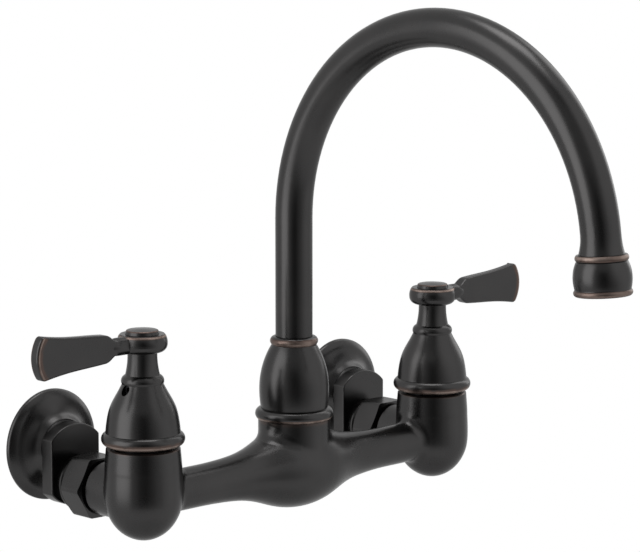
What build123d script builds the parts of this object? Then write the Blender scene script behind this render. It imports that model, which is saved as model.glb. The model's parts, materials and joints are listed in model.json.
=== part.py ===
from build123d import *
import os
from math import cos, degrees, radians, sin

# Wall mounted kitchen faucet with two lever handles and a swivelling high-arc spout. Millimetres.
# The origin is on the finished wall, midway between the two water inlets and at their height.
# +X runs to the cold (right) valve, +Y into the wall and +Z up. The spout reaches towards -Y.
# Screw threads are plain cylinders at the thread's working radius.

# ---- Driving dimensions: places
inlet_spacing = 203.2  # eight inches between the wall pipes
valve_x = inlet_spacing / 2
axis_y = -70.8  # the valve axes and the spout axis stand in one plane, this far off the wall
bridge_z = -15.8  # the offset couplings set the body five eighths of an inch below the pipes

# ---- Driving dimensions: wall side
flange_r = 28.0
flange_depth = 12.4
flange_skin = 1.5
pipe_r = 9.9  # working radius of a half inch pipe thread
pipe_bore_depth = 15.0
coupling_boss_r = 11.9
coupling_plate_thickness = 7.5
coupling_flats = 30.7
coupling_plate_r = 20.5
union_thread_r = 12.4
union_bore_r = 8.0
nut_across_flats = 29.4
nut_start_y = -22.9
nut_end_y = -41.0
tailpiece_r = 9.9
tailpiece_bore_r = 7.0
boss_r = 13.5
boss_end_y = -43.1

# ---- Driving dimensions: body
arm_r = 10.3
arm_swell = [(66.0, arm_r), (50.0, 10.8), (37.0, 12.2), (26.0, 15.0), (15.0, 18.7)]
middle_r = 20.8
neck_r = 18.3
neck_top_z = 9.0
neck_thread_r = 15.2
neck_thread_top_z = 22.0
barrel_r = 19.15
barrel_top_r = 18.15
barrel_wide_z = -15.0
barrel_bottom_z = -36.9
barrel_side = [(7.8, -35.0), (12.1, -32.0), (15.4, -28.0), (18.15, -22.0), (barrel_r, barrel_wide_z)]
barrel_top_z = 9.2

# ---- Driving dimensions: valve
thread_seat_z = -1.0
nut_thread_r = 13.5
chamber_r = 11.5
deck_top_z = -19.0
deck_bottom_z = -22.0
stem_r = 5.0
stem_end_r = 4.2
running_gap = 0.05

# ---- Driving dimensions: handle
bell_bottom_z = 10.5
bell_ring_r = 20.36
bell_ceiling_z = 31.0
bell_neck_top_z = 56.0
lever_z = 60.3
lever_reach = 66.7
lever_ring_r = 12.25
lever_ring_top_z = 64.8
lever_post_r = 5.5
lever_neck_r = 4.4
lever_half_height = 10.8  # at the wide end
button_top_z = 67.2
set_screw_z = 38.3
set_screw_r = 2.45

# ---- Driving dimensions: spout
tube_r = 9.4
tube_bore_r = 8.0
arc_r = 100.8
arc_z = 111.15
outlet_tilt = 4.0  # degrees by which the outlet leans away from the wall
outlet_drop = 23.1  # from the end of the arc to the rim of the aerator
mouth_h = 19.2  # heights above that rim, along the outlet
spud_r = 9.45
spud_body_r = 11.5
spud_top_z = 39.0
tube_foot_z = 27.0
bonnet_shoulder_z = 41.6
bonnet_top_z = 51.3
shell_ring_r = 12.45
shell_r = 13.66
shell_thread_r = 10.85

os.makedirs("parts", exist_ok=True)

# ---- Planes and axes. On each profile plane local x is the radius.
valve_profile = Plane(origin=(-valve_x, axis_y, 0), x_dir=(1, 0, 0), z_dir=(0, -1, 0))
valve_axis = Axis((-valve_x, axis_y, 0), (0, 0, 1))
spout_profile = Plane(origin=(0, axis_y, 0), x_dir=(1, 0, 0), z_dir=(0, -1, 0))
spout_axis = Axis((0, axis_y, 0), (0, 0, 1))
pipe_profile = Plane(origin=(-valve_x, 0, 0), x_dir=(1, 0, 0), z_dir=(0, 0, 1))
pipe_axis = Axis((-valve_x, 0, 0), (0, 1, 0))
union_profile = Plane(origin=(-valve_x, 0, bridge_z), x_dir=(1, 0, 0), z_dir=(0, 0, 1))
union_axis = Axis((-valve_x, 0, bridge_z), (0, 1, 0))
lever_front = Plane(origin=(-valve_x, axis_y, lever_z), x_dir=(-1, 0, 0), z_dir=(0, 1, 0))
lever_plan = Plane(origin=(-valve_x, axis_y, lever_z), x_dir=(-1, 0, 0), z_dir=(0, 0, 1))
lever_axis = Axis((-valve_x, axis_y, lever_z), (-1, 0, 0))

arc_end_y = axis_y - arc_r * (1 + cos(radians(outlet_tilt)))
arc_end_z = arc_z + arc_r * sin(radians(outlet_tilt))
outlet_up = Vector(0, sin(radians(outlet_tilt)), cos(radians(outlet_tilt)))
outlet_rim = Vector(0, arc_end_y, arc_end_z) - outlet_up * outlet_drop
outlet_profile = Plane(
    origin=outlet_rim, x_dir=(1, 0, 0), z_dir=(0, -outlet_up.Z, outlet_up.Y)
)
outlet_axis = Axis(outlet_rim, outlet_up)
outlet_face = Plane(origin=outlet_rim, x_dir=(1, 0, 0), z_dir=outlet_up)


def save(piece, label):
    piece.part.label = label
    export_step(piece.part, f"parts/{label}.step")


def save_pair(piece, label):
    """Saves the left piece, and its mirror image for the right side."""
    save(piece, f"left_{label}")
    with BuildPart() as twin:
        mirror(piece.part, about=Plane.YZ)
    save(twin, f"right_{label}")


def turn(outline, plane, axis, mode=Mode.ADD):
    """Spins a closed outline of (radius, height) points about the axis."""
    with BuildSketch(plane) as profile:
        with BuildLine():
            Polyline(*outline, close=True)
        make_face()
    revolve(profile.sketch, axis=axis, mode=mode)


def band(inner, outer, low, high):
    """The outline of a plain ring, or of a disc where the inner radius is 0."""
    return [(inner, low), (outer, low), (outer, high), (inner, high)]


def ring(ring_r, section_r, height, plane, axis):
    """An O-ring: a small circle spun about the axis."""
    with BuildSketch(plane) as section:
        with Locations((ring_r, height)):
            Circle(section_r)
    revolve(section.sketch, axis=axis)


# ---- Wall side, left

flange_hole_r = coupling_boss_r + 0.3
flange_collar_r = 13.3
flange_rim_y = -0.8

with BuildPart() as wall_flange:
    # a rounded rim, then a hollow slope that rises to a collar behind the coupling's plate
    with BuildSketch(pipe_profile):
        with BuildLine():
            Polyline((flange_r - flange_skin, 0), (flange_r, 0), (flange_r, flange_rim_y))
            Spline(
                (flange_r, flange_rim_y),
                (26.8, -2.6),
                (24.6, -3.9),
                (21.6, -4.9),
                (18.3, -6.4),
                (15.6, -8.6),
                (14.0, -10.6),
                (flange_collar_r, -flange_depth),
                tangents=[(0, -1), (-0.2, -1)],
            )
            Polyline(
                (flange_collar_r, -flange_depth),
                (flange_hole_r, -flange_depth),
                (flange_hole_r, -9.6),
            )
            Spline(
                (flange_hole_r, -9.6),
                (14.2, -7.5),
                (17.4, -4.9),
                (21.2, -3.4),
                (24.2, -2.5),
                (flange_r - flange_skin, flange_rim_y),
                tangents=[(0.6, 1), (0.5, 1)],
            )
            Line((flange_r - flange_skin, flange_rim_y), (flange_r - flange_skin, 0))
        make_face()
    revolve(axis=pipe_axis)
save_pair(wall_flange, "wall_flange")

plate_back_y = -flange_depth
plate_front_y = plate_back_y - coupling_plate_thickness
coupling_end_y = -34.0
passage_r = 7.0
passage_back_y = -14.0
passage_front_y = -18.0

plate_z = -7.35
plate_corner = 1.4
plate_edge = 0.6

with BuildPart() as offset_coupling:
    # the plate is round at the top and bottom, with two upright wrench flats and soft edges
    with BuildSketch(Plane.XZ.offset(-plate_back_y)):
        with Locations((-valve_x, plate_z)):
            Circle(coupling_plate_r)
            Rectangle(coupling_flats, 3 * coupling_plate_r, mode=Mode.INTERSECT)
    extrude(amount=coupling_plate_thickness)
    fillet(offset_coupling.edges().filter_by(Axis.Y), plate_corner)
    fillet(offset_coupling.faces().sort_by(Axis.Y)[0].edges(), plate_edge)
    turn(band(0, coupling_boss_r, plate_back_y, 0), pipe_profile, pipe_axis)
    turn(band(0, union_thread_r, coupling_end_y, plate_front_y), union_profile, union_axis)
    turn(band(0, pipe_r, -pipe_bore_depth, 0), pipe_profile, pipe_axis, Mode.SUBTRACT)
    turn(
        band(0, union_bore_r, coupling_end_y, passage_back_y - 2),
        union_profile,
        union_axis,
        Mode.SUBTRACT,
    )
    # a short slanting way joins the two bores inside the plate
    with BuildSketch(Plane.XZ.offset(-passage_back_y)):
        with Locations((-valve_x, bridge_z / 2)):
            SlotCenterToCenter(-bridge_z, 2 * passage_r, rotation=90)
    extrude(amount=passage_back_y - passage_front_y, mode=Mode.SUBTRACT)
save_pair(offset_coupling, "offset_coupling")

washer_thickness = 2.0
washer_y = coupling_end_y - washer_thickness
tailpiece_flange_r = 12.1
tailpiece_flange_y = washer_y - 3.2
tailpiece_end_y = -54.0
nut_corner_r = nut_across_flats / 2 / cos(radians(30))
nut_corner = 2.6  # rounding of its six corners
nut_collar_r = 13.9  # the nut starts with a round collar and a groove
nut_collar_end_y = -24.5
nut_groove_r = 13.2
nut_groove_end_y = -25.7
nut_rear_cone = 2.7
nut_front_cone = 0.7
nut_front_r = nut_across_flats / 2 - 0.7

with BuildPart() as union_washer:
    turn(
        band(union_bore_r, tailpiece_flange_r, washer_y, coupling_end_y), union_profile, union_axis
    )
save_pair(union_washer, "union_washer")

with BuildPart() as union_tailpiece:
    turn(band(0, tailpiece_flange_r, tailpiece_flange_y, washer_y), union_profile, union_axis)
    turn(band(0, tailpiece_r, tailpiece_end_y, tailpiece_flange_y), union_profile, union_axis)
    turn(
        band(0, tailpiece_bore_r, tailpiece_end_y, washer_y),
        union_profile,
        union_axis,
        Mode.SUBTRACT,
    )
save_pair(union_tailpiece, "union_tailpiece")

with BuildPart() as union_nut:
    with BuildSketch(Plane.XZ.offset(-nut_start_y)):
        with Locations((-valve_x, bridge_z)):
            RegularPolygon(nut_across_flats / 2, 6, major_radius=False)
    extrude(amount=nut_start_y - nut_end_y)
    fillet(union_nut.edges().filter_by(Axis.Y), nut_corner)
    # both ends are turned: a small cone in front, and a cone, a groove and a collar at the back
    turned_ends = [
        (0, nut_start_y),
        (nut_groove_r, nut_start_y),
        (nut_collar_r, nut_start_y - nut_collar_r + nut_groove_r),
        (nut_collar_r, nut_collar_end_y),
        (nut_groove_r, nut_collar_end_y - nut_collar_r + nut_groove_r),
        (nut_groove_r, nut_groove_end_y),
        (nut_corner_r, nut_groove_end_y - nut_rear_cone),
        (nut_corner_r, nut_end_y + nut_front_cone),
        (nut_front_r, nut_end_y),
        (0, nut_end_y),
    ]
    turn(turned_ends, union_profile, union_axis, Mode.INTERSECT)
    bored = [
        (0, nut_start_y),
        (union_thread_r + running_gap, nut_start_y),
        (union_thread_r + running_gap, tailpiece_flange_y),
        (tailpiece_r + 0.2, tailpiece_flange_y),
        (tailpiece_r + 0.2, nut_end_y),
        (0, nut_end_y),
    ]
    turn(bored, union_profile, union_axis, Mode.SUBTRACT)
save_pair(union_nut, "union_nut")

# ---- Body casting

lower_chamber_r = 8.0
lower_chamber_z = -31.0
deck_hole_r = 5.5
inlet_way_r = 3.5
inlet_way_start_z = -22.0
inlet_way_end_z = -28.0
outlet_way_r = 4.5
outlet_way_z = -13.5
spud_bore_r = 9.5
spud_bore_z = -8.0
mixing_r = 7.0
mixing_z = -20.0
neck_fillet = 8.0
barrel_fillet = 6.5
boss_fillet = 2.0


def near(edges, x, low_z, high_z, reach):
    """The edges whose middle lies within reach of both planes at x and -x, between two heights."""
    return edges.filter_by(
        lambda e: abs(abs(e.center().X) - x) < reach and low_z < e.center().Z < high_z
    )


with BuildPart() as bridge_body:
    with BuildSketch(
        Plane(origin=(0, axis_y, bridge_z), x_dir=(1, 0, 0), z_dir=(0, 0, 1))
    ) as bridge_outline:
        with BuildLine():
            swell = [(-x, r) for x, r in arm_swell] + [(0, middle_r)] + arm_swell[::-1]
            Spline(*swell, tangents=[(1, 0), (1, 0)])
            Polyline(
                swell[-1], (valve_x, arm_r), (valve_x, 0), (-valve_x, 0), (-valve_x, arm_r), swell[0]
            )
        make_face()
    revolve(bridge_outline.sketch, axis=Axis((0, axis_y, bridge_z), (1, 0, 0)))
    turn(band(0, neck_r, bridge_z, neck_top_z), spout_profile, spout_axis)
    fillet(near(bridge_body.edges(), 0, -14, neck_top_z - 2, neck_r), neck_fillet)
    for side in (-1, 1):
        side_profile = Plane(origin=(side * valve_x, axis_y, 0), x_dir=(1, 0, 0), z_dir=(0, -1, 0))
        with BuildSketch(side_profile) as barrel_outline:
            with BuildLine():
                Polyline(
                    (0, barrel_bottom_z),
                    (0, barrel_top_z),
                    (barrel_top_r - 0.7, barrel_top_z),
                    (barrel_top_r, barrel_top_z - 0.7),
                )
                Spline(
                    (0, barrel_bottom_z),
                    *barrel_side,
                    (18.9, -3.0),
                    (barrel_top_r, barrel_top_z - 0.7),
                    tangents=[(1, 0), (-0.085, 1)],
                )
            make_face()
        revolve(barrel_outline.sketch, axis=Axis((side * valve_x, axis_y, 0), (0, 0, 1)))
    fillet(near(bridge_body.edges(), valve_x - 17, -27, -5, 3), barrel_fillet)
    for side in (-1, 1):
        with BuildSketch(Plane.XZ.offset(-boss_end_y)) as boss_end:
            with Locations((side * valve_x, bridge_z)):
                Circle(boss_r)
        extrude(boss_end.sketch, amount=boss_end_y - axis_y)
    boss_roots = bridge_body.edges().filter_by(
        lambda e: axis_y + 10 < e.center().Y < boss_end_y - 2 and abs(e.center().X) > valve_x - 12
    )
    fillet(boss_roots.filter_by_position(Axis.Z, bridge_z - 6, bridge_z + 6), boss_fillet)
    turn(band(0, neck_thread_r, neck_top_z, neck_thread_top_z), spout_profile, spout_axis)
    # waterways: each barrel holds a valve chamber over a deck with a hole, and a lower chamber
    for side in (-1, 1):
        side_axis = Axis((side * valve_x, axis_y, 0), (0, 0, 1))
        side_profile = Plane(origin=(side * valve_x, axis_y, 0), x_dir=(1, 0, 0), z_dir=(0, -1, 0))
        for bore in (
            band(0, nut_thread_r, thread_seat_z, barrel_top_z),
            band(0, chamber_r, deck_top_z, thread_seat_z),
            band(0, deck_hole_r, deck_bottom_z, deck_top_z),
            band(0, lower_chamber_r, lower_chamber_z, deck_bottom_z),
        ):
            turn(bore, side_profile, side_axis, Mode.SUBTRACT)
        side_union = Plane(
            origin=(side * valve_x, 0, bridge_z), x_dir=(1, 0, 0), z_dir=(0, 0, 1)
        )
        turn(
            band(0, tailpiece_r + running_gap, tailpiece_end_y, boss_end_y),
            side_union,
            Axis((side * valve_x, 0, bridge_z), (0, 1, 0)),
            Mode.SUBTRACT,
        )
        inlet_way = Vector(0, axis_y - tailpiece_end_y, inlet_way_end_z - inlet_way_start_z)
        with BuildSketch(
            Plane(origin=(side * valve_x, tailpiece_end_y, inlet_way_start_z), z_dir=inlet_way)
        ) as inlet_way_end:
            Circle(inlet_way_r)
        extrude(inlet_way_end.sketch, amount=inlet_way.length, mode=Mode.SUBTRACT)
    with BuildSketch(Plane(origin=(-valve_x, axis_y, outlet_way_z), z_dir=(1, 0, 0))) as outlet_way:
        Circle(outlet_way_r)
    extrude(outlet_way.sketch, amount=inlet_spacing, mode=Mode.SUBTRACT)
    turn(
        band(0, spud_bore_r, spud_bore_z, neck_thread_top_z),
        spout_profile,
        spout_axis,
        Mode.SUBTRACT,
    )
    turn(band(0, mixing_r, mixing_z, spud_bore_z), spout_profile, spout_axis, Mode.SUBTRACT)
save(bridge_body, "bridge_body")

# ---- Valve, left. The housing and the lower disc stand still, the stem turns the upper disc.

gasket_top_z = deck_top_z + 1.0
disc_r = 9.5
disc_thickness = 2.4
fixed_disc_top_z = gasket_top_z + disc_thickness
film = 0.02  # of water between the two lapped discs
moving_disc_z = fixed_disc_top_z + film
window_inner_r = 3.5
window_outer_r = 7.5
window_angle = 76.0
ear_reach = 11.0
ear_width = 4.0
key_width = 5.0
key_length = 15.0
key_depth = 0.8
key_z = moving_disc_z + disc_thickness - key_depth
housing_r = chamber_r - 0.1
housing_bottom_z = deck_top_z + 0.2
housing_bore_r = disc_r + 0.08
housing_ceiling_z = -8.5
housing_neck_r = 8.0
housing_flange_r = nut_thread_r - 0.3
housing_flange_top_z = 2.0
housing_top_z = 19.0
port_width = 9.0
port_low_z = -13.0
port_high_z = -9.0
housing_ring_z = -4.5
housing_ring_section = 0.8
hex_bottom_z = barrel_top_z + 0.5
hex_across_flats = 25.0
hex_top_z = 16.0
stem_flange_r = 9.0
stem_flange_bottom_z = -9.5
stem_step_z = 22.0
stem_top_z = 43.0
stem_flat = 3.4
stem_ring_heights = (5.0, 13.0)
stem_ring_section = 0.6


def windows(low_z, turned):
    """Cuts two facing windows through a disc, each somewhat less than a quarter turn wide."""
    for middle in (turned, turned + 180):
        start = middle - window_angle / 2
        with BuildSketch(Plane(origin=(-valve_x, axis_y, low_z), z_dir=(0, 0, 1))) as window:
            with BuildLine():
                rim = CenterArc((0, 0), window_outer_r, start, window_angle)
                hub = CenterArc((0, 0), window_inner_r, start, window_angle)
                Line(rim @ 0, hub @ 0)
                Line(rim @ 1, hub @ 1)
            make_face()
        extrude(window.sketch, amount=disc_thickness, mode=Mode.SUBTRACT)


with BuildPart() as seat_gasket:
    turn(band(window_outer_r + 0.2, disc_r - 0.1, deck_top_z, gasket_top_z), valve_profile, valve_axis)
save_pair(seat_gasket, "seat_gasket")

with BuildPart() as fixed_disc:
    # two ears on the rim stand in notches of the housing and keep the disc from turning
    with BuildSketch(Plane.XY.offset(gasket_top_z)):
        with Locations((-valve_x, axis_y)):
            Circle(disc_r)
            Rectangle(2 * ear_reach, ear_width)
    extrude(amount=disc_thickness)
    windows(gasket_top_z, 90)
save_pair(fixed_disc, "fixed_disc")

with BuildPart() as moving_disc:
    turn(band(0, disc_r, moving_disc_z, moving_disc_z + disc_thickness), valve_profile, valve_axis)
    windows(moving_disc_z, 0)
    with BuildSketch(Plane.XY.offset(key_z)):
        with Locations((-valve_x, axis_y)):
            Rectangle(key_width, 2 * disc_r)
    extrude(amount=key_depth, mode=Mode.SUBTRACT)
save_pair(moving_disc, "moving_disc")

with BuildPart() as cartridge_housing:
    turn(band(0, housing_r, housing_bottom_z, thread_seat_z), valve_profile, valve_axis)
    turn(
        band(0, housing_flange_r, thread_seat_z, housing_flange_top_z), valve_profile, valve_axis
    )
    turn(band(0, housing_neck_r, housing_flange_top_z, housing_top_z), valve_profile, valve_axis)
    turn(
        band(0, housing_bore_r, housing_bottom_z, housing_ceiling_z),
        valve_profile,
        valve_axis,
        Mode.SUBTRACT,
    )
    turn(
        band(0, stem_r + running_gap, housing_ceiling_z, housing_top_z),
        valve_profile,
        valve_axis,
        Mode.SUBTRACT,
    )
    turn(
        band(
            housing_r - 2 * housing_ring_section + 0.05,
            housing_r,
            housing_ring_z - 1,
            housing_ring_z + 1,
        ),
        valve_profile,
        valve_axis,
        Mode.SUBTRACT,
    )
    with BuildSketch(Plane(origin=(-valve_x, axis_y, 0), x_dir=(0, 1, 0), z_dir=(1, 0, 0))):
        with Locations((0, (port_low_z + port_high_z) / 2)):
            Rectangle(port_width, port_high_z - port_low_z)
        with Locations((0, (housing_bottom_z + fixed_disc_top_z) / 2)):
            Rectangle(ear_width + 0.2, fixed_disc_top_z - housing_bottom_z)
    extrude(amount=housing_r + 1, both=True, mode=Mode.SUBTRACT)
save_pair(cartridge_housing, "cartridge_housing")

with BuildPart() as housing_o_ring:
    ring(
        chamber_r - housing_ring_section - 0.02,
        housing_ring_section - 0.03,
        housing_ring_z,
        valve_profile,
        valve_axis,
    )
save_pair(housing_o_ring, "housing_o_ring")

with BuildPart() as bonnet_nut:
    with BuildSketch(Plane.XY.offset(hex_bottom_z)):
        with Locations((-valve_x, axis_y)):
            RegularPolygon(hex_across_flats / 2, 6, major_radius=False)
    extrude(amount=hex_top_z - hex_bottom_z)
    hex_corner_r = hex_across_flats / 2 / cos(radians(30))
    turned_top = [
        (0, hex_bottom_z),
        (hex_corner_r, hex_bottom_z),
        (hex_corner_r, hex_top_z - 1.2),
        (hex_across_flats / 2 - 0.4, hex_top_z),
        (0, hex_top_z),
    ]
    turn(turned_top, valve_profile, valve_axis, Mode.INTERSECT)
    turn(
        band(0, nut_thread_r - running_gap, housing_flange_top_z, hex_bottom_z),
        valve_profile,
        valve_axis,
    )
    turn(
        band(0, housing_neck_r + 0.1, housing_flange_top_z, hex_top_z),
        valve_profile,
        valve_axis,
        Mode.SUBTRACT,
    )
save_pair(bonnet_nut, "bonnet_nut")

with BuildPart() as valve_stem:
    turn(band(0, stem_r, stem_flange_bottom_z, stem_step_z), valve_profile, valve_axis)
    turn(band(0, stem_end_r, stem_step_z, stem_top_z), valve_profile, valve_axis)
    turn(
        band(0, stem_flange_r, stem_flange_bottom_z, housing_ceiling_z - running_gap),
        valve_profile,
        valve_axis,
    )
    for height in stem_ring_heights:
        turn(
            band(stem_r - 2 * stem_ring_section - 0.05, stem_r, height - 0.75, height + 0.75),
            valve_profile,
            valve_axis,
            Mode.SUBTRACT,
        )
    # the foot is a bar that stands in the groove of the upper disc
    with BuildSketch(Plane.XY.offset(key_z)):
        with Locations((-valve_x, axis_y)):
            Rectangle(key_width - 0.1, key_length)
    extrude(amount=stem_flange_bottom_z - key_z)
    # flat for the set screw, on the lever's side
    with BuildSketch(Plane.XY.offset(set_screw_z - 4)):
        with Locations((-valve_x - stem_flat - 1, axis_y)):
            Rectangle(2, 2 * stem_end_r)
    extrude(amount=stem_top_z - set_screw_z + 4, mode=Mode.SUBTRACT)
save_pair(valve_stem, "valve_stem")

with BuildPart() as stem_o_rings:
    for height in stem_ring_heights:
        ring(stem_r - stem_ring_section, stem_ring_section, height, valve_profile, valve_axis)
save_pair(stem_o_rings, "stem_o_rings")

# ---- Handle, left, shut: the lever points away from the spout

shank_r = 2.5
shank_bottom_z = 52.0
set_screw_top = 9.2  # distances from the valve axis
set_screw_socket = 2.5

with BuildPart() as handle_bell:
    with BuildSketch(valve_profile):
        with BuildLine():
            Polyline((0, bell_neck_top_z), (0, bell_bottom_z), (18.6, bell_bottom_z))
            ThreePointArc((18.6, bell_bottom_z), (bell_ring_r, 12.9), (18.3, 16.5))
            Line((18.3, 16.5), (18.2, 17.3))
            Spline((18.2, 17.3), (17.45, 23.2), (15.9, 29.2), (12.9, 35.1), (10.1, 40.4))
            ThreePointArc((10.1, 40.4), (10.4, 42.5), (9.1, 44.4))
            Line((9.1, 44.4), (8.4, 44.9))
            Spline((8.4, 44.9), (7.65, 48.8), (7.25, 53.0), (7.25, bell_neck_top_z))
            Line((7.25, bell_neck_top_z), (0, bell_neck_top_z))
        make_face()
    revolve(axis=valve_axis)
    turn(band(0, lever_post_r, bell_neck_top_z, lever_ring_top_z), valve_profile, valve_axis)
    cavity = [
        (0, bell_bottom_z),
        (16.4, bell_bottom_z),
        (16.4, 17.0),
        (15.6, 23.0),
        (14.0, 28.0),
        (11.5, bell_ceiling_z),
        (0, bell_ceiling_z),
    ]
    turn(cavity, valve_profile, valve_axis, Mode.SUBTRACT)
    turn(
        band(0, stem_end_r + running_gap, bell_ceiling_z, stem_top_z + 0.5),
        valve_profile,
        valve_axis,
        Mode.SUBTRACT,
    )
    turn(
        band(0, shank_r + running_gap, shank_bottom_z - 2, lever_ring_top_z),
        valve_profile,
        valve_axis,
        Mode.SUBTRACT,
    )
    with BuildSketch(Plane(origin=(-valve_x, axis_y, set_screw_z), z_dir=(-1, 0, 0))):
        Circle(set_screw_r + running_gap)
    extrude(amount=bell_ring_r, mode=Mode.SUBTRACT)
save_pair(handle_bell, "handle_bell")

with BuildPart() as set_screw:
    with BuildSketch(Plane(origin=(-valve_x - stem_flat, axis_y, set_screw_z), z_dir=(-1, 0, 0))):
        Circle(set_screw_r)
    extrude(amount=set_screw_top - stem_flat)
    chamfer(set_screw.edges().group_by(Axis.X)[-1], 0.7)
    with BuildSketch(Plane(origin=(-valve_x - set_screw_top, axis_y, set_screw_z), z_dir=(1, 0, 0))):
        RegularPolygon(set_screw_socket / 2, 6, major_radius=False)
    extrude(amount=2.6, mode=Mode.SUBTRACT)
save_pair(set_screw, "set_screw")

neck_start = 9.0  # distances along the lever, from the valve axis
neck_taper_start = 16.0
neck_end = 25.0
paddle_start = 16.0
paddle_corner = 62.9
tip_rounding = 2.6  # of the two corners of the paddle's end
paddle_edge = 1.3
lip_start = 58.0
lip_start_half_height = 9.95
lip_half_width = 2.9
lip_depth = 1.9
lip_edge = 0.55
end_r = (lever_half_height**2 + (lever_reach - paddle_corner) ** 2) / (
    2 * (lever_reach - paddle_corner)
)


def at_tip(corner):
    """Whether a corner of an outline is one of the two at the paddle's end."""
    return abs(corner.X - paddle_corner) < 0.1 and abs(corner.Y) > 1


with BuildPart() as lever_lip:
    # the raised rim along the lever's round end
    with BuildSketch(lever_front) as lip_outline:
        with BuildLine():
            Line((lip_start, 0), (lip_start, lip_start_half_height))
            Spline(
                (lip_start, lip_start_half_height),
                (paddle_corner, lever_half_height),
                tangents=[(1, 0.16), (1, 0.18)],
            )
            mirror(about=Plane.XZ)
            ThreePointArc(
                (paddle_corner, lever_half_height),
                (lever_reach, 0),
                (paddle_corner, -lever_half_height),
            )
        make_face()
        fillet(lip_outline.vertices().filter_by(at_tip), tip_rounding)
        with Locations((lever_reach - end_r, 0)):
            Circle(end_r - lip_depth, mode=Mode.SUBTRACT)
    extrude(amount=lip_half_width, both=True)
    fillet(lever_lip.edges(), lip_edge)

with BuildPart() as lever:
    # the paddle is its front outline crossed with its thinning plan, with rounded edges
    with BuildSketch(lever_front) as paddle_outline:
        with BuildLine():
            Line((paddle_start, 0), (paddle_start, 3.0))
            Spline((paddle_start, 3.0), (20.2, 4.3), (25.2, 6.9), tangents=[(1, 0), (1, 0.1)])
            Spline(
                (25.2, 6.9),
                (34.0, 7.6),
                (45.0, 8.35),
                (lip_start, lip_start_half_height),
                (paddle_corner, lever_half_height),
                tangents=[(1, 0.1), (1, 0.18)],
            )
            mirror(about=Plane.XZ)
            ThreePointArc(
                (paddle_corner, lever_half_height),
                (lever_reach, 0),
                (paddle_corner, -lever_half_height),
            )
        make_face()
        fillet(paddle_outline.vertices().filter_by(at_tip), tip_rounding)
    extrude(amount=lever_neck_r, both=True)
    with BuildSketch(lever_plan):
        with BuildLine():
            Line((paddle_start, 0), (paddle_start, 3.7))
            Spline(
                (paddle_start, 3.7),
                (21.0, 3.35),
                (28.0, 3.0),
                (40.0, 2.65),
                (lever_reach, 2.5),
                tangents=[(1, -0.05), (1, 0)],
            )
            Line((lever_reach, 2.5), (lever_reach, 0))
            mirror(about=Plane.XZ)
        make_face()
    extrude(amount=lever_half_height + 1, both=True, mode=Mode.INTERSECT)
    long_edges = lever.edges().filter_by(
        lambda e: paddle_start + 1 < -valve_x - e.center().X < paddle_corner - 1
    )
    fillet(long_edges, paddle_edge)
    add(lever_lip.part)
    # the neck is round and thins out into the paddle
    with BuildSketch(lever_front) as neck_outline:
        with BuildLine():
            Polyline(
                (neck_end, 2.3),
                (neck_end, 0),
                (neck_start, 0),
                (neck_start, lever_neck_r),
                (neck_taper_start, lever_neck_r),
            )
            Spline((neck_taper_start, lever_neck_r), (neck_end, 2.3), tangents=[(1, 0), (1, -0.1)])
        make_face()
    revolve(neck_outline.sketch, axis=lever_axis)
    with BuildSketch(valve_profile) as ring_outline:
        with BuildLine():
            Polyline((0, lever_ring_top_z), (0, bell_neck_top_z), (8.8, bell_neck_top_z))
            ThreePointArc((8.8, bell_neck_top_z), (11.1, 57.1), (lever_ring_r, 59.8))
            ThreePointArc((lever_ring_r, 59.8), (12.15, 62.1), (11.4, 64.1))
            Polyline((11.4, 64.1), (10.8, lever_ring_top_z), (0, lever_ring_top_z))
        make_face()
    revolve(ring_outline.sketch, axis=valve_axis)
    turn(
        band(0, lever_post_r + running_gap, bell_neck_top_z, lever_ring_top_z),
        valve_profile,
        valve_axis,
        Mode.SUBTRACT,
    )
save_pair(lever, "lever")

with BuildPart() as handle_button:
    with BuildSketch(valve_profile):
        with BuildLine():
            Polyline(
                (0, button_top_z), (0, lever_ring_top_z), (8.3, lever_ring_top_z), (8.0, 66.0)
            )
            ThreePointArc((8.0, 66.0), (7.7, 66.5), (7.1, 66.7))
            Spline((7.1, 66.7), (0, button_top_z), tangents=[(-1, 0.09), (-1, 0)])
        make_face()
    revolve(axis=valve_axis)
    turn(band(0, shank_r, shank_bottom_z, lever_ring_top_z), valve_profile, valve_axis)
save_pair(handle_button, "handle_button")

# ---- Spout foot and its bonnet

spud_bottom_z = -6.0
spud_way_r = 5.5
spud_ring_heights = (2.0, 14.0)
spud_ring_section = 1.0
bonnet_bottom_z = neck_top_z + 0.2
bonnet_thread_end_z = 22.5

with BuildPart() as spout_bonnet:
    with BuildSketch(spout_profile):
        with BuildLine():
            Polyline((0, bonnet_top_z), (0, bonnet_bottom_z), (18.6, bonnet_bottom_z))
            ThreePointArc((18.6, bonnet_bottom_z), (19.8, 11.4), (18.3, 14.3))
            Line((18.3, 14.3), (17.0, 14.8))
            Spline((17.0, 14.8), (17.7, 23.2), (17.2, 31.0), (14.7, 40.3), (11.6, 46.6))
            ThreePointArc((11.6, 46.6), (11.45, 46.95), (11.6, 47.3))
            ThreePointArc((11.6, 47.3), (12.15, 49.2), (9.9, bonnet_top_z))
            Line((9.9, bonnet_top_z), (0, bonnet_top_z))
        make_face()
    revolve(axis=spout_axis)
    inside = [
        (0, bonnet_bottom_z),
        (neck_thread_r + running_gap, bonnet_bottom_z),
        (neck_thread_r + running_gap, bonnet_thread_end_z),
        (13.0, bonnet_thread_end_z + 2),
        (13.0, 30.0),
        (spud_body_r + 0.4, 31.0),
        (spud_body_r + 0.4, bonnet_shoulder_z),
        (tube_r + running_gap, bonnet_shoulder_z),
        (tube_r + running_gap, bonnet_top_z),
        (0, bonnet_top_z),
    ]
    turn(inside, spout_profile, spout_axis, Mode.SUBTRACT)
save(spout_bonnet, "spout_bonnet")

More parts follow.
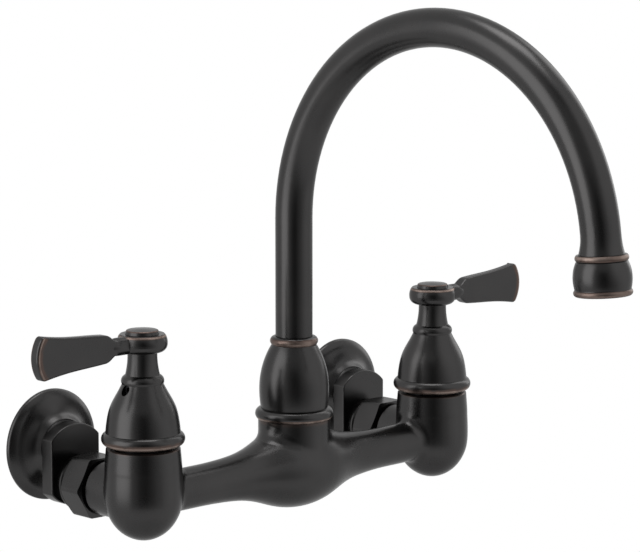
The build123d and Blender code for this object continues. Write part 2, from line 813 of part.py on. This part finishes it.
with BuildPart() as spout_glide_ring:
    turn(
        band(tube_r + 0.1, spud_body_r + 0.3, spud_top_z + running_gap, bonnet_shoulder_z),
        spout_profile,
        spout_axis,
    )
save(spout_glide_ring, "spout_glide_ring")

with BuildPart() as spout_spud:
    turn(
        band(0, spud_r, spud_bottom_z, neck_thread_top_z + running_gap), spout_profile, spout_axis
    )
    turn(
        band(0, spud_body_r, neck_thread_top_z + running_gap, spud_top_z),
        spout_profile,
        spout_axis,
    )
    for height in spud_ring_heights:
        turn(
            band(spud_r - 2 * spud_ring_section - 0.05, spud_r, height - 1.5, height + 1.5),
            spout_profile,
            spout_axis,
            Mode.SUBTRACT,
        )
    turn(band(0, spud_way_r, spud_bottom_z, tube_foot_z), spout_profile, spout_axis, Mode.SUBTRACT)
    turn(band(0, tube_r, tube_foot_z, spud_top_z), spout_profile, spout_axis, Mode.SUBTRACT)
save(spout_spud, "spout_spud")

with BuildPart() as spout_o_rings:
    for height in spud_ring_heights:
        ring(spud_r - spud_ring_section, spud_ring_section, height, spout_profile, spout_axis)
save(spout_o_rings, "spout_o_rings")

# ---- Spout tube: a straight riser, one wide arc and a short straight end with a flared mouth

mouth_r = 10.65
flare_length = 9.0
flare_steps = 5
flare_turn = degrees((flare_length - (outlet_drop - mouth_h)) / arc_r)
mouth = outlet_rim + outlet_up * mouth_h


def tube_end(radius):
    with BuildSketch(Plane.XY.offset(tube_foot_z)) as round_end:
        with Locations((0, axis_y)):
            Circle(radius)
    return round_end.sketch


with BuildPart() as spout_tube:
    arc_centre = (axis_y - arc_r, arc_z)
    flare_start = 180 - outlet_tilt - flare_turn
    with BuildLine(Plane.YZ) as spout_path:
        Line((axis_y, tube_foot_z), (axis_y, arc_z))
        CenterArc(arc_centre, arc_r, 0, flare_start)
        CenterArc(arc_centre, arc_r, flare_start, flare_turn)
        Line((arc_end_y, arc_end_z), (mouth.Y, mouth.Z))
    whole_path = spout_path.wires()[0]
    sweep(tube_end(tube_r), path=Wire(spout_path.edges()[:2]))
    flare_sections = []
    for step in range(flare_steps):
        share = step / (flare_steps - 1)
        place = whole_path.location_at(
            whole_path.length - flare_length * (1 - share), position_mode=PositionMode.LENGTH
        )
        with BuildSketch(Plane(place)) as flare_section:
            Circle(tube_r + (mouth_r - tube_r) * share**2)
        flare_sections.append(flare_section.sketch)
    loft(flare_sections)
    sweep(tube_end(tube_bore_r), path=whole_path, mode=Mode.SUBTRACT)
save(spout_tube, "spout_tube")

# ---- Outlet. Heights here are above the rim of the aerator, along the outlet.

plug_top_h = 23.7
plug_way_r = 6.0
washer_top_h = 10.9
screen_top_h = 8.8
insert_top_h = 8.5
lip_h = 1.4
lip_r = 10.2
grid_thickness = 1.5
insert_r = shell_thread_r - 0.15
insert_bore_r = 9.0
hole_r = 0.8
hole_pitch = 2.4  # radial step from one ring of holes to the next


def grid_of_holes(low_h, thickness):
    """Cuts a middle hole and three rings of 6, 12 and 18 holes."""
    with BuildSketch(outlet_face.offset(low_h)) as holes:
        Circle(hole_r)
        for row in (1, 2, 3):
            with PolarLocations(row * hole_pitch, 6 * row):
                Circle(hole_r)
    extrude(holes.sketch, amount=thickness, mode=Mode.SUBTRACT)


with BuildPart() as outlet_adapter:
    turn(band(0, shell_thread_r - running_gap, washer_top_h, mouth_h), outlet_profile, outlet_axis)
    turn(band(0, tube_bore_r - running_gap, mouth_h, plug_top_h), outlet_profile, outlet_axis)
    turn(
        band(0, plug_way_r, washer_top_h, plug_top_h), outlet_profile, outlet_axis, Mode.SUBTRACT
    )
save(outlet_adapter, "outlet_adapter")

with BuildPart() as aerator_shell:
    with BuildSketch(outlet_profile):
        with BuildLine():
            Polyline((shell_thread_r, lip_h), (lip_r, lip_h), (lip_r, 0.4), (lip_r + 0.4, 0), (12.5, 0))
            ThreePointArc((12.5, 0), (shell_r, 1.4), (13.1, 2.9))
            Line((13.1, 2.9), (13.1, 3.3))
            Spline((13.1, 3.3), (shell_r, 7.5), (13.2, 12.5), (12.0, 15.8))
            Line((12.0, 15.8), (11.8, 16.0))
            ThreePointArc((11.8, 16.0), (shell_ring_r, 17.45), (11.8, 18.95))
            Polyline((11.8, 18.95), (shell_thread_r, 18.95), (shell_thread_r, lip_h))
        make_face()
    revolve(axis=outlet_axis)
save(aerator_shell, "aerator_shell")

with BuildPart() as aerator_insert:
    turn(band(0, insert_r, lip_h, insert_top_h), outlet_profile, outlet_axis)
    turn(
        band(0, insert_bore_r, lip_h + grid_thickness, insert_top_h),
        outlet_profile,
        outlet_axis,
        Mode.SUBTRACT,
    )
    grid_of_holes(lip_h, grid_thickness)
save(aerator_insert, "aerator_insert")

with BuildPart() as aerator_screen:
    turn(band(0, insert_r, insert_top_h, screen_top_h), outlet_profile, outlet_axis)
    grid_of_holes(insert_top_h, screen_top_h - insert_top_h)
save(aerator_screen, "aerator_screen")

with BuildPart() as aerator_washer:
    turn(band(8.3, insert_r, screen_top_h, washer_top_h), outlet_profile, outlet_axis)
save(aerator_washer, "aerator_washer")
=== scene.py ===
import json
import math

import bpy
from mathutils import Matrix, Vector

# The looks of the wall mounted kitchen faucet. Metres, in the part's own frame: the origin is on the
# wall between the two inlets, +X to the cold valve, +Y into the wall, +Z up.

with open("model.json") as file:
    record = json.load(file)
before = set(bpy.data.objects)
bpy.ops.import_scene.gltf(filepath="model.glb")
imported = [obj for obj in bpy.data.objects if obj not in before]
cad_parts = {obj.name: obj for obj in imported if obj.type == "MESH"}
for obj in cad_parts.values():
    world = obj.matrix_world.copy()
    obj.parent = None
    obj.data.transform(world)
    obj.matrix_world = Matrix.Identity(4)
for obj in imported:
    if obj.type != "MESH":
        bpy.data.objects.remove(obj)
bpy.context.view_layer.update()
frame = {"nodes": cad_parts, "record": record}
scene = bpy.context.scene
scene.view_settings.view_transform = "Standard"

VALVE_X = 0.1016  # of the valve axes, to either side of the spout's
AXIS_Y = -0.0708  # of all three upright axes
LEVER_Z = 0.0603  # middle of the levers
PADDLE_ARC_U = 0.04945  # centre of the round end of the paddle, out along the lever
OUTLET_TILT = math.radians(4.0)
OUTLET_RIM = Vector((0.0, -0.27377, 0.09514))
OUTLET_UP = Vector((0.0, math.sin(OUTLET_TILT), math.cos(OUTLET_TILT)))


# ---- Shader helpers. Each returns the socket that holds its result.


def put(tree, socket, value):
    """Sets an input to a number or a colour, or joins a socket to it."""
    if isinstance(value, bpy.types.NodeSocket):
        tree.links.new(value, socket)
    else:
        socket.default_value = value


def math_node(tree, operation, *values, clamp=False):
    node = tree.nodes.new("ShaderNodeMath")
    node.operation = operation
    node.use_clamp = clamp
    for socket, value in zip(node.inputs, values):
        put(tree, socket, value)
    return node.outputs[0]


def times(tree, first, *others):
    for other in others:
        first = math_node(tree, "MULTIPLY", first, other)
    return first


def larger(tree, first, second):
    return math_node(tree, "MAXIMUM", first, second)


def vector_node(tree, operation, *values):
    node = tree.nodes.new("ShaderNodeVectorMath")
    node.operation = operation
    for socket, value in zip(node.inputs, values):
        put(tree, socket, value)
    if operation in ("LENGTH", "DOT_PRODUCT"):
        return node.outputs["Value"]
    return node.outputs["Vector"]


def split(tree, point):
    parts = tree.nodes.new("ShaderNodeSeparateXYZ")
    put(tree, parts.inputs[0], point)
    return parts.outputs["X"], parts.outputs["Y"], parts.outputs["Z"]


def flat_distance(tree, first, second):
    """The distance from the origin of the point that has these two coordinates."""
    flat = tree.nodes.new("ShaderNodeCombineXYZ")
    put(tree, flat.inputs["X"], first)
    put(tree, flat.inputs["Y"], second)
    return vector_node(tree, "LENGTH", flat.outputs[0])


def smooth_step(tree, value, low, high):
    """0 below low and 1 above high, with a soft rise. Where high is the lower one it falls instead."""
    node = tree.nodes.new("ShaderNodeMapRange")
    node.interpolation_type = "SMOOTHSTEP"
    falls = high < low
    put(tree, node.inputs["Value"], value)
    node.inputs["From Min"].default_value = min(low, high)
    node.inputs["From Max"].default_value = max(low, high)
    node.inputs["To Min"].default_value = 1.0 if falls else 0.0
    node.inputs["To Max"].default_value = 0.0 if falls else 1.0
    return node.outputs["Result"]


def band(tree, value, low, high, soft):
    """1 between low and high, 0 outside, with a soft edge on both sides."""
    rise = smooth_step(tree, value, low - soft, low + soft)
    fall = smooth_step(tree, value, high + soft, high - soft)
    return times(tree, rise, fall)


def noise(tree, point, scale, detail, roughness=0.5):
    node = tree.nodes.new("ShaderNodeTexNoise")
    node.inputs["Scale"].default_value = scale
    node.inputs["Detail"].default_value = detail
    node.inputs["Roughness"].default_value = roughness
    put(tree, node.inputs["Vector"], point)
    return node.outputs[0]


def mix_colour(tree, share, first, second):
    node = tree.nodes.new("ShaderNodeMix")
    node.data_type = "RGBA"
    put(tree, node.inputs["Factor"], share)
    put(tree, node.inputs["A"], first)
    put(tree, node.inputs["B"], second)
    return node.outputs["Result"]


def ramp(tree, share, stops):
    node = tree.nodes.new("ShaderNodeValToRGB")
    elements = node.color_ramp.elements
    while len(elements) < len(stops):
        elements.new(0.5)
    for element, (place, colour) in zip(elements, stops):
        element.position = place
        element.color = colour
    put(tree, node.inputs["Fac"], share)
    return node.outputs["Color"]


def bump(tree, height, strength, distance):
    node = tree.nodes.new("ShaderNodeBump")
    node.inputs["Strength"].default_value = strength
    node.inputs["Distance"].default_value = distance
    put(tree, node.inputs["Height"], height)
    return node.outputs["Normal"]


def grey(level):
    return (level, level, level, 1.0)


def scaled(colour, share):
    return tuple(share * level for level in colour[:3]) + (1.0,)


def new_material(name):
    material = bpy.data.materials.new(name)
    material.use_nodes = True
    tree = material.node_tree
    shader = tree.nodes["Principled BSDF"]
    point = tree.nodes.new("ShaderNodeTexCoord").outputs["Object"]
    return material, tree, shader, point


# ---- Copper on the dark finish. The mask functions below take the point and return 0 to 1: where the
# finish is rubbed through to copper, and on the body a painted reflection of the copper rings above. A
# pair of heights or radii is the two ends of a soft step, from the whole dark finish to copper, or the
# two edges of a band of copper. The single numbers are shares of the full copper.

BAND_SOFT = 0.0003

BELL_LINE_Z = (0.0127, 0.0117)
BELL_FRINGE_Z = (0.0146, 0.0122)
BELL_FRINGE = 0.30
BELL_FOOT_R = (0.0180, 0.0187)

LEVER_RING_Z = (0.0636, 0.0645)
LEVER_RING_R = (0.0108, 0.0122)
PADDLE_START_U = (0.058, 0.060)
PADDLE_FACE_Y = (0.0020, 0.0025)
PADDLE_RIM_R = (0.0158, 0.0174)
PADDLE_SHADE_R = (0.0128, 0.0156)
PADDLE_SHADE = 0.33
PADDLE_LAST_R = (0.0177, 0.0172)

BUTTON_EDGE_Z = (0.0662, 0.0669)
BUTTON_EDGE_R = (0.0068, 0.0076)
BUTTON_EDGE = 0.45

COLLAR_LOW_Z = (0.0469, 0.0474)
COLLAR_HIGH_Z = (0.0512, 0.0492)
COLLAR = 0.75
BONNET_LINE_Z = (0.0088, 0.0105)
BONNET_FOOT_R = (0.0180, 0.0184)

# Painted reflection of the copper rings above: a brown tint on the top of the neck and of the barrels.
NECK_Z = (0.0055, 0.0090)
NECK = 0.20
BARREL_Z = (0.0067, 0.0092)
BARREL = 0.22
BODY_TOP_R = (0.0200, 0.0190)

OUTLET_RING_Z = (0.0163, 0.0188)
OUTLET_RING_HALVES_Z = (0.0168, 0.0178)
OUTLET_RING_LOW, OUTLET_RING_HIGH_MORE = 0.4, 0.6
MOUTH_RING_Z = (0.0003, 0.0027)
MOUTH_RING_SOFT = 0.0004
MOUTH_RING = 0.68


def about_valve(tree, point):
    """Distance out along the lever, distance from the valve axis and height, for either handle."""
    side, depth, height = split(tree, point)
    along = math_node(tree, "SUBTRACT", math_node(tree, "ABSOLUTE", side), VALVE_X)
    across = math_node(tree, "SUBTRACT", depth, AXIS_Y)
    return along, across, flat_distance(tree, along, across), height


def about_spout(tree, point):
    """Distance from the spout's upright axis, and height."""
    side, depth, height = split(tree, point)
    return flat_distance(tree, side, math_node(tree, "SUBTRACT", depth, AXIS_Y)), height


def about_outlet(tree, point):
    """Height above the aerator's rim along the tilted outlet."""
    offset = vector_node(tree, "SUBTRACT", point, tuple(OUTLET_RIM))
    return vector_node(tree, "DOT_PRODUCT", offset, tuple(OUTLET_UP))


def worn_bell(tree, point):
    """A line round the lower half of the foot ring, and a fainter fringe over it."""
    _, _, radius, height = about_valve(tree, point)
    on_foot = smooth_step(tree, radius, *BELL_FOOT_R)
    line = times(tree, smooth_step(tree, height, *BELL_LINE_Z), on_foot)
    fringe = times(tree, smooth_step(tree, height, *BELL_FRINGE_Z), BELL_FRINGE, on_foot)
    return larger(tree, line, fringe)


def worn_lever(tree, point):
    """The upper edge of the lever's ring, and the rim of both faces round the end of its paddle."""
    along, across, radius, height = about_valve(tree, point)
    ring = band(tree, height, *LEVER_RING_Z, BAND_SOFT)
    ring = times(tree, ring, band(tree, radius, *LEVER_RING_R, BAND_SOFT))
    out = math_node(tree, "SUBTRACT", along, PADDLE_ARC_U)
    up = math_node(tree, "SUBTRACT", height, LEVER_Z)
    reach = flat_distance(tree, out, up)
    rim = band(tree, reach, *PADDLE_RIM_R, BAND_SOFT)
    shade = times(tree, smooth_step(tree, reach, *PADDLE_SHADE_R), PADDLE_SHADE)
    rim = times(
        tree,
        larger(tree, rim, shade),
        smooth_step(tree, along, *PADDLE_START_U),
        smooth_step(tree, math_node(tree, "ABSOLUTE", across), *PADDLE_FACE_Y),
        smooth_step(tree, reach, *PADDLE_LAST_R),
    )
    return larger(tree, ring, rim)


def worn_button(tree, point):
    """The edge of the dome."""
    _, _, radius, height = about_valve(tree, point)
    edge = band(tree, height, *BUTTON_EDGE_Z, BAND_SOFT)
    return times(tree, edge, smooth_step(tree, radius, *BUTTON_EDGE_R), BUTTON_EDGE)


def worn_bonnet(tree, point):
    """The round collar on top and a thin line under the foot ring."""
    radius, height = about_spout(tree, point)
    collar = times(
        tree,
        smooth_step(tree, height, *COLLAR_LOW_Z),
        smooth_step(tree, height, *COLLAR_HIGH_Z),
        COLLAR,
    )
    line = band(tree, height, *BONNET_LINE_Z, BAND_SOFT)
    line = times(tree, line, smooth_step(tree, radius, *BONNET_FOOT_R))
    return larger(tree, collar, line)


def painted_copper_reflection(tree, point):
    """Painted reflection: a faint brown reflection of the copper, painted on the neck just under the
    bonnet and along the tops of the barrels under the bells.
    """
    radius, height = about_spout(tree, point)
    _, _, valve_radius, _ = about_valve(tree, point)
    neck = times(tree, smooth_step(tree, height, *NECK_Z), NECK)
    neck = times(tree, neck, smooth_step(tree, radius, *BODY_TOP_R))
    barrel = times(tree, smooth_step(tree, height, *BARREL_Z), BARREL)
    barrel = times(tree, barrel, smooth_step(tree, valve_radius, *BODY_TOP_R))
    return larger(tree, neck, barrel)


def worn_aerator(tree, point):
    """The ring at the top, browner below, and the ring round the mouth, duller."""
    height = about_outlet(tree, point)
    halves = smooth_step(tree, height, *OUTLET_RING_HALVES_Z)
    shade = math_node(tree, "MULTIPLY_ADD", halves, OUTLET_RING_HIGH_MORE, OUTLET_RING_LOW)
    top = times(tree, band(tree, height, *OUTLET_RING_Z, BAND_SOFT), shade)
    mouth = times(tree, band(tree, height, *MOUTH_RING_Z, MOUTH_RING_SOFT), MOUTH_RING)
    return larger(tree, top, mouth)


# ---- Finishes

SKIN_DARK = (0.040, 0.0395, 0.040, 1.0)
SKIN_LIGHT = (0.053, 0.0515, 0.051, 1.0)
SKIN_TINT = grey(0.72)  # tones the sheen at grazing angles down
COPPER_COLOURS = [
    (0.0, (0.047, 0.045, 0.044, 1.0)),
    (0.30, (0.080, 0.056, 0.048, 1.0)),
    (0.70, (0.150, 0.115, 0.100, 1.0)),
    (1.0, (0.235, 0.186, 0.163, 1.0)),
]
COPPER_FROM = (0.02, 0.25)  # shares of the copper mask over which its colour takes over from the skin's
PATCH_STEP = (0.34, 0.60)
PATCH_LEAST, PATCH_MORE = 0.60, 0.40  # copper share between the patches, and what a patch adds
SKIN_ROUGH, CLOUD_ROUGH, COPPER_ROUGH = 0.25, 0.06, 0.16


def dark_bronze(name, wear_and_reflection=None):
    """Near-black oil rubbed bronze: satin, faintly clouded, copper where it is rubbed through, and on
    the body a painted copper reflection.
    """
    material, tree, shader, point = new_material(name)
    clouds = noise(tree, point, scale=55.0, detail=3.0)
    grain = noise(tree, point, scale=1400.0, detail=2.0)
    colour = mix_colour(tree, clouds, SKIN_DARK, SKIN_LIGHT)
    rough = math_node(tree, "MULTIPLY_ADD", clouds, CLOUD_ROUGH, SKIN_ROUGH)
    # The mask gives wear on most parts and painted reflection on the body.
    if wear_and_reflection is not None:
        mask = wear_and_reflection(tree, point)
        patches = smooth_step(tree, noise(tree, point, scale=190.0, detail=2.5), *PATCH_STEP)
        patches = math_node(tree, "MULTIPLY_ADD", patches, PATCH_MORE, PATCH_LEAST)
        share = math_node(tree, "MULTIPLY", mask, patches, clamp=True)
        metal = ramp(tree, share, COPPER_COLOURS)
        colour = mix_colour(tree, smooth_step(tree, share, *COPPER_FROM), colour, metal)
        rough = math_node(tree, "MULTIPLY_ADD", share, COPPER_ROUGH, rough)
    put(tree, shader.inputs["Base Color"], colour)
    put(tree, shader.inputs["Roughness"], rough)
    shader.inputs["Metallic"].default_value = 1.0
    shader.inputs["Specular Tint"].default_value = SKIN_TINT
    put(tree, shader.inputs["Normal"], bump(tree, grain, strength=0.10, distance=0.00004))
    return material


def plain_metal(name, colour, roughness, streaks):
    """A machined metal, with fine turned marks along its height."""
    material, tree, shader, point = new_material(name)
    _, _, height = split(tree, point)
    stretched = tree.nodes.new("ShaderNodeCombineXYZ")
    put(tree, stretched.inputs["Z"], height)
    marks = noise(tree, stretched.outputs[0], streaks, detail=4.0, roughness=0.7)
    tarnish = noise(tree, point, scale=90.0, detail=3.0)
    put(tree, shader.inputs["Base Color"], mix_colour(tree, tarnish, scaled(colour, 0.72), colour))
    put(tree, shader.inputs["Roughness"], math_node(tree, "MULTIPLY_ADD", marks, 0.18, roughness))
    shader.inputs["Metallic"].default_value = 1.0
    put(tree, shader.inputs["Normal"], bump(tree, marks, strength=0.12, distance=0.00003))
    return material


def moulded(name, colour, roughness, grain_scale, grain_strength):
    """Rubber, plastic or ceramic: one colour, faintly uneven, with a fine surface grain."""
    material, tree, shader, point = new_material(name)
    clouds = noise(tree, point, scale=130.0, detail=2.0)
    put(tree, shader.inputs["Base Color"], mix_colour(tree, clouds, scaled(colour, 0.85), colour))
    grain = noise(tree, point, grain_scale, detail=3.0)
    put(tree, shader.inputs["Roughness"], math_node(tree, "MULTIPLY_ADD", grain, 0.10, roughness))
    put(tree, shader.inputs["Normal"], bump(tree, grain, grain_strength, distance=0.00004))
    return material


bronze = dark_bronze("dark_bronze_plain")
finish_of = {
    # The body's brown tint is painted reflection of the copper above it.
    "bridge_body": dark_bronze("dark_bronze_body", painted_copper_reflection),
    # The tailpiece's brass is darkened all over as painted shade, for the dark gap between union nut
    # and boss where it shows.
    "union_tailpiece": plain_metal("brass_darkened_as_gap_shade", (0.14, 0.10, 0.06, 1.0), 0.34, 2600.0),
    "spout_bonnet": dark_bronze("dark_bronze_bonnet", worn_bonnet),
    "handle_bell": dark_bronze("dark_bronze_bell", worn_bell),
    "lever": dark_bronze("dark_bronze_lever", worn_lever),
    "handle_button": dark_bronze("dark_bronze_button", worn_button),
    "aerator_shell": dark_bronze("dark_bronze_aerator", worn_aerator),
}
finish_of_slot = {
    "brass": plain_metal("machined_brass", (0.72, 0.53, 0.25, 1.0), 0.24, 2600.0),
    "steel": plain_metal("stainless_steel", (0.50, 0.50, 0.50, 1.0), 0.28, 3000.0),
    "dark_bronze": bronze,
    # Steel made near-black all over.
    "black_steel": plain_metal("near_black_steel", (0.020, 0.020, 0.021, 1.0), 0.42, 3000.0),
    "rubber": moulded("black_rubber", (0.030, 0.030, 0.030, 1.0), 0.60, 2500.0, 0.20),
    "ceramic": moulded("lapped_ceramic", (0.85, 0.84, 0.80, 1.0), 0.12, 900.0, 0.02),
    "plastic": moulded("white_acetal", (0.75, 0.75, 0.72, 1.0), 0.38, 1500.0, 0.08),
}
slot_of = {row["node"]: row["material_slot"] for row in frame["record"]["subparts"]}
for name, node in frame["nodes"].items():
    kind = name.removeprefix("left_").removeprefix("right_")
    node.data.materials.clear()
    node.data.materials.append(finish_of.get(kind) or finish_of_slot[slot_of[name]])


# ---- Floor, light and camera

CAMERA_FROM = Vector((-1.0488, -1.1570, 0.3168))
CAMERA_AIM = Vector((0.01835, -0.07083, 0.07974))
CAMERA_AZIMUTH = math.radians(-44.5)
LENS_MM = 170.66
SENSOR_MM = 36.0

FLOOR_Z = -0.80
FLOOR_RADIUS = 4.0
FLOOR_FADE = (0.35, 0.90)  # from the floor's own surface to plain white, by distance from its middle

BOX_DISTANCE = 1.5
FLAG_DISTANCE = 1.9
FLAG_HEIGHTS = (-0.95, 4.5)
FLAG_STEPS = 36
FLAG_STOPS = [  # bearing from the camera's in degrees, level
    (-46.0, 1.0),
    (-30.0, 0.50),
    (-14.0, 0.22),
    (-4.0, 0.09),
    (12.0, 0.05),
    (26.0, 0.24),
    (50.0, 0.58),
    (72.0, 1.0),
    (96.0, 1.15),
]
NARROW_START = 0.37  # metres under the point aimed at, where the dark part starts to narrow
NARROWING = 0.7  # how fast the right half of the dark part narrows upwards, per metre
LIFT_BAND = (1.05, 3.2, 0.30)  # metres above that start, and the softness of the band's edges
LIFT = 0.47  # least level of the sheet in that band


def seen_from_object(turned, elevation, distance):
    """A place at a bearing from the camera's own, to the right of it as the photo shows it."""
    angle = CAMERA_AZIMUTH + math.radians(turned)
    up = math.radians(elevation)
    return CAMERA_AIM + distance * Vector(
        (math.sin(angle) * math.cos(up), -math.cos(angle) * math.cos(up), math.sin(up))
    )


def graded_flag(name):
    """An upright curved sheet of light before the object, dark in its middle, unseen by the camera."""
    first, last = FLAG_STOPS[0][0], FLAG_STOPS[-1][0]
    low, high = FLAG_HEIGHTS
    corners = []
    for step in range(FLAG_STEPS + 1):
        angle = math.radians(first + (last - first) * step / FLAG_STEPS)
        side, front = FLAG_DISTANCE * math.sin(angle), -FLAG_DISTANCE * math.cos(angle)
        corners += [(side, front, low), (side, front, high)]
    faces = [(2 * i, 2 * i + 2, 2 * i + 3, 2 * i + 1) for i in range(FLAG_STEPS)]
    mesh = bpy.data.meshes.new(name)
    mesh.from_pydata(corners, [], faces)
    sheet = bpy.data.objects.new(name, mesh)
    scene.collection.objects.link(sheet)
    sheet.location = CAMERA_AIM
    sheet.rotation_euler.z = CAMERA_AZIMUTH
    sheet.visible_camera = False
    material, tree, shader, point = new_material(name)
    tree.nodes.remove(shader)
    side, depth, height = split(tree, point)
    bearing = math_node(tree, "ARCTAN2", side, times(tree, depth, -1.0))
    rise = math_node(tree, "ADD", height, NARROW_START)
    narrow = math_node(tree, "MINIMUM", larger(tree, rise, 0.0), 1.0)
    shift = times(tree, larger(tree, bearing, 0.0), narrow)
    bearing = math_node(tree, "MULTIPLY_ADD", shift, NARROWING, bearing)
    share = math_node(
        tree, "MULTIPLY_ADD", bearing, 1 / math.radians(last - first), -first / (last - first)
    )
    places = [((turned - first) / (last - first), grey(level)) for turned, level in FLAG_STOPS]
    lift = times(tree, band(tree, rise, *LIFT_BAND), LIFT)
    glow = tree.nodes.new("ShaderNodeEmission")
    put(tree, glow.inputs["Strength"], larger(tree, ramp(tree, share, places), lift))
    put(tree, tree.nodes["Material Output"].inputs["Surface"], glow.outputs[0])
    mesh.materials.append(material)


def soft_box(name, turned, elevation, width, height, radiance):
    """An area light at a bearing and an elevation, turned to the object."""
    place = seen_from_object(turned, elevation, BOX_DISTANCE)
    light = bpy.data.lights.new(name, "AREA")
    light.shape = "RECTANGLE"
    light.size = width
    light.size_y = height
    light.energy = radiance * math.pi * width * height
    lamp = bpy.data.objects.new(name, light)
    scene.collection.objects.link(lamp)
    lamp.location = place
    lamp.rotation_euler = (CAMERA_AIM - place).to_track_quat("-Z", "Y").to_euler()
    lamp.visible_camera = False


def white_world(name, seen_level, light_level):
    """Plain white where it is seen, straight or in a reflection, and dimmer as a light."""
    world = bpy.data.worlds.new(name)
    scene.world = world
    world.use_nodes = True
    tree = world.node_tree
    tree.nodes.clear()
    rays = tree.nodes.new("ShaderNodeLightPath").outputs
    seen = larger(tree, rays["Is Camera Ray"], rays["Is Glossy Ray"])
    seen = larger(tree, seen, rays["Is Transmission Ray"])
    joined = tree.nodes.new("ShaderNodeMixShader")
    put(tree, joined.inputs["Fac"], seen)
    for socket, level in zip(joined.inputs[1:], (light_level, seen_level)):
        background = tree.nodes.new("ShaderNodeBackground")
        background.inputs["Color"].default_value = grey(1.0)
        background.inputs["Strength"].default_value = level
        put(tree, socket, background.outputs[0])
    put(tree, tree.nodes.new("ShaderNodeOutputWorld").inputs["Surface"], joined.outputs[0])


def pale_floor(name):
    """A pale matt disc that keeps the shadow and fades to plain white."""
    bpy.ops.mesh.primitive_circle_add(
        vertices=96, radius=FLOOR_RADIUS, fill_type="NGON", location=(0.0, AXIS_Y, FLOOR_Z)
    )
    floor = bpy.context.object
    floor.name = name
    material, tree, shader, point = new_material("pale_floor")
    shader.inputs["Base Color"].default_value = grey(0.82)
    shader.inputs["Roughness"].default_value = 0.9
    shader.inputs["Specular IOR Level"].default_value = 0.0
    away = vector_node(tree, "LENGTH", point)
    glow = tree.nodes.new("ShaderNodeEmission")
    glow.inputs["Color"].default_value = grey(1.0)
    glow.inputs["Strength"].default_value = 1.0
    fade = tree.nodes.new("ShaderNodeMixShader")
    put(tree, fade.inputs["Fac"], smooth_step(tree, away, *FLOOR_FADE))
    put(tree, fade.inputs[1], shader.outputs[0])
    put(tree, fade.inputs[2], glow.outputs[0])
    put(tree, tree.nodes["Material Output"].inputs["Surface"], fade.outputs[0])
    floor.data.materials.append(material)


white_world("studio", seen_level=1.0, light_level=0.6)
pale_floor("floor")
graded_flag("graded_flag")
soft_box("left_panel", -59.0, 13.0, 1.2, 1.6, 1.95)
soft_box("right_strip", 137.0, 26.0, 0.6, 1.5, 2.0)
soft_box("top_panel", 165.0, 87.0, 0.8, 0.7, 4.2)

camera = bpy.data.objects.new("camera", bpy.data.cameras.new("camera"))
scene.collection.objects.link(camera)
camera.data.lens = LENS_MM
camera.data.sensor_width = SENSOR_MM
camera.location = CAMERA_FROM
camera.rotation_mode = "QUATERNION"
camera.rotation_quaternion = (CAMERA_AIM - CAMERA_FROM).to_track_quat("-Z", "Y")
scene.camera = camera
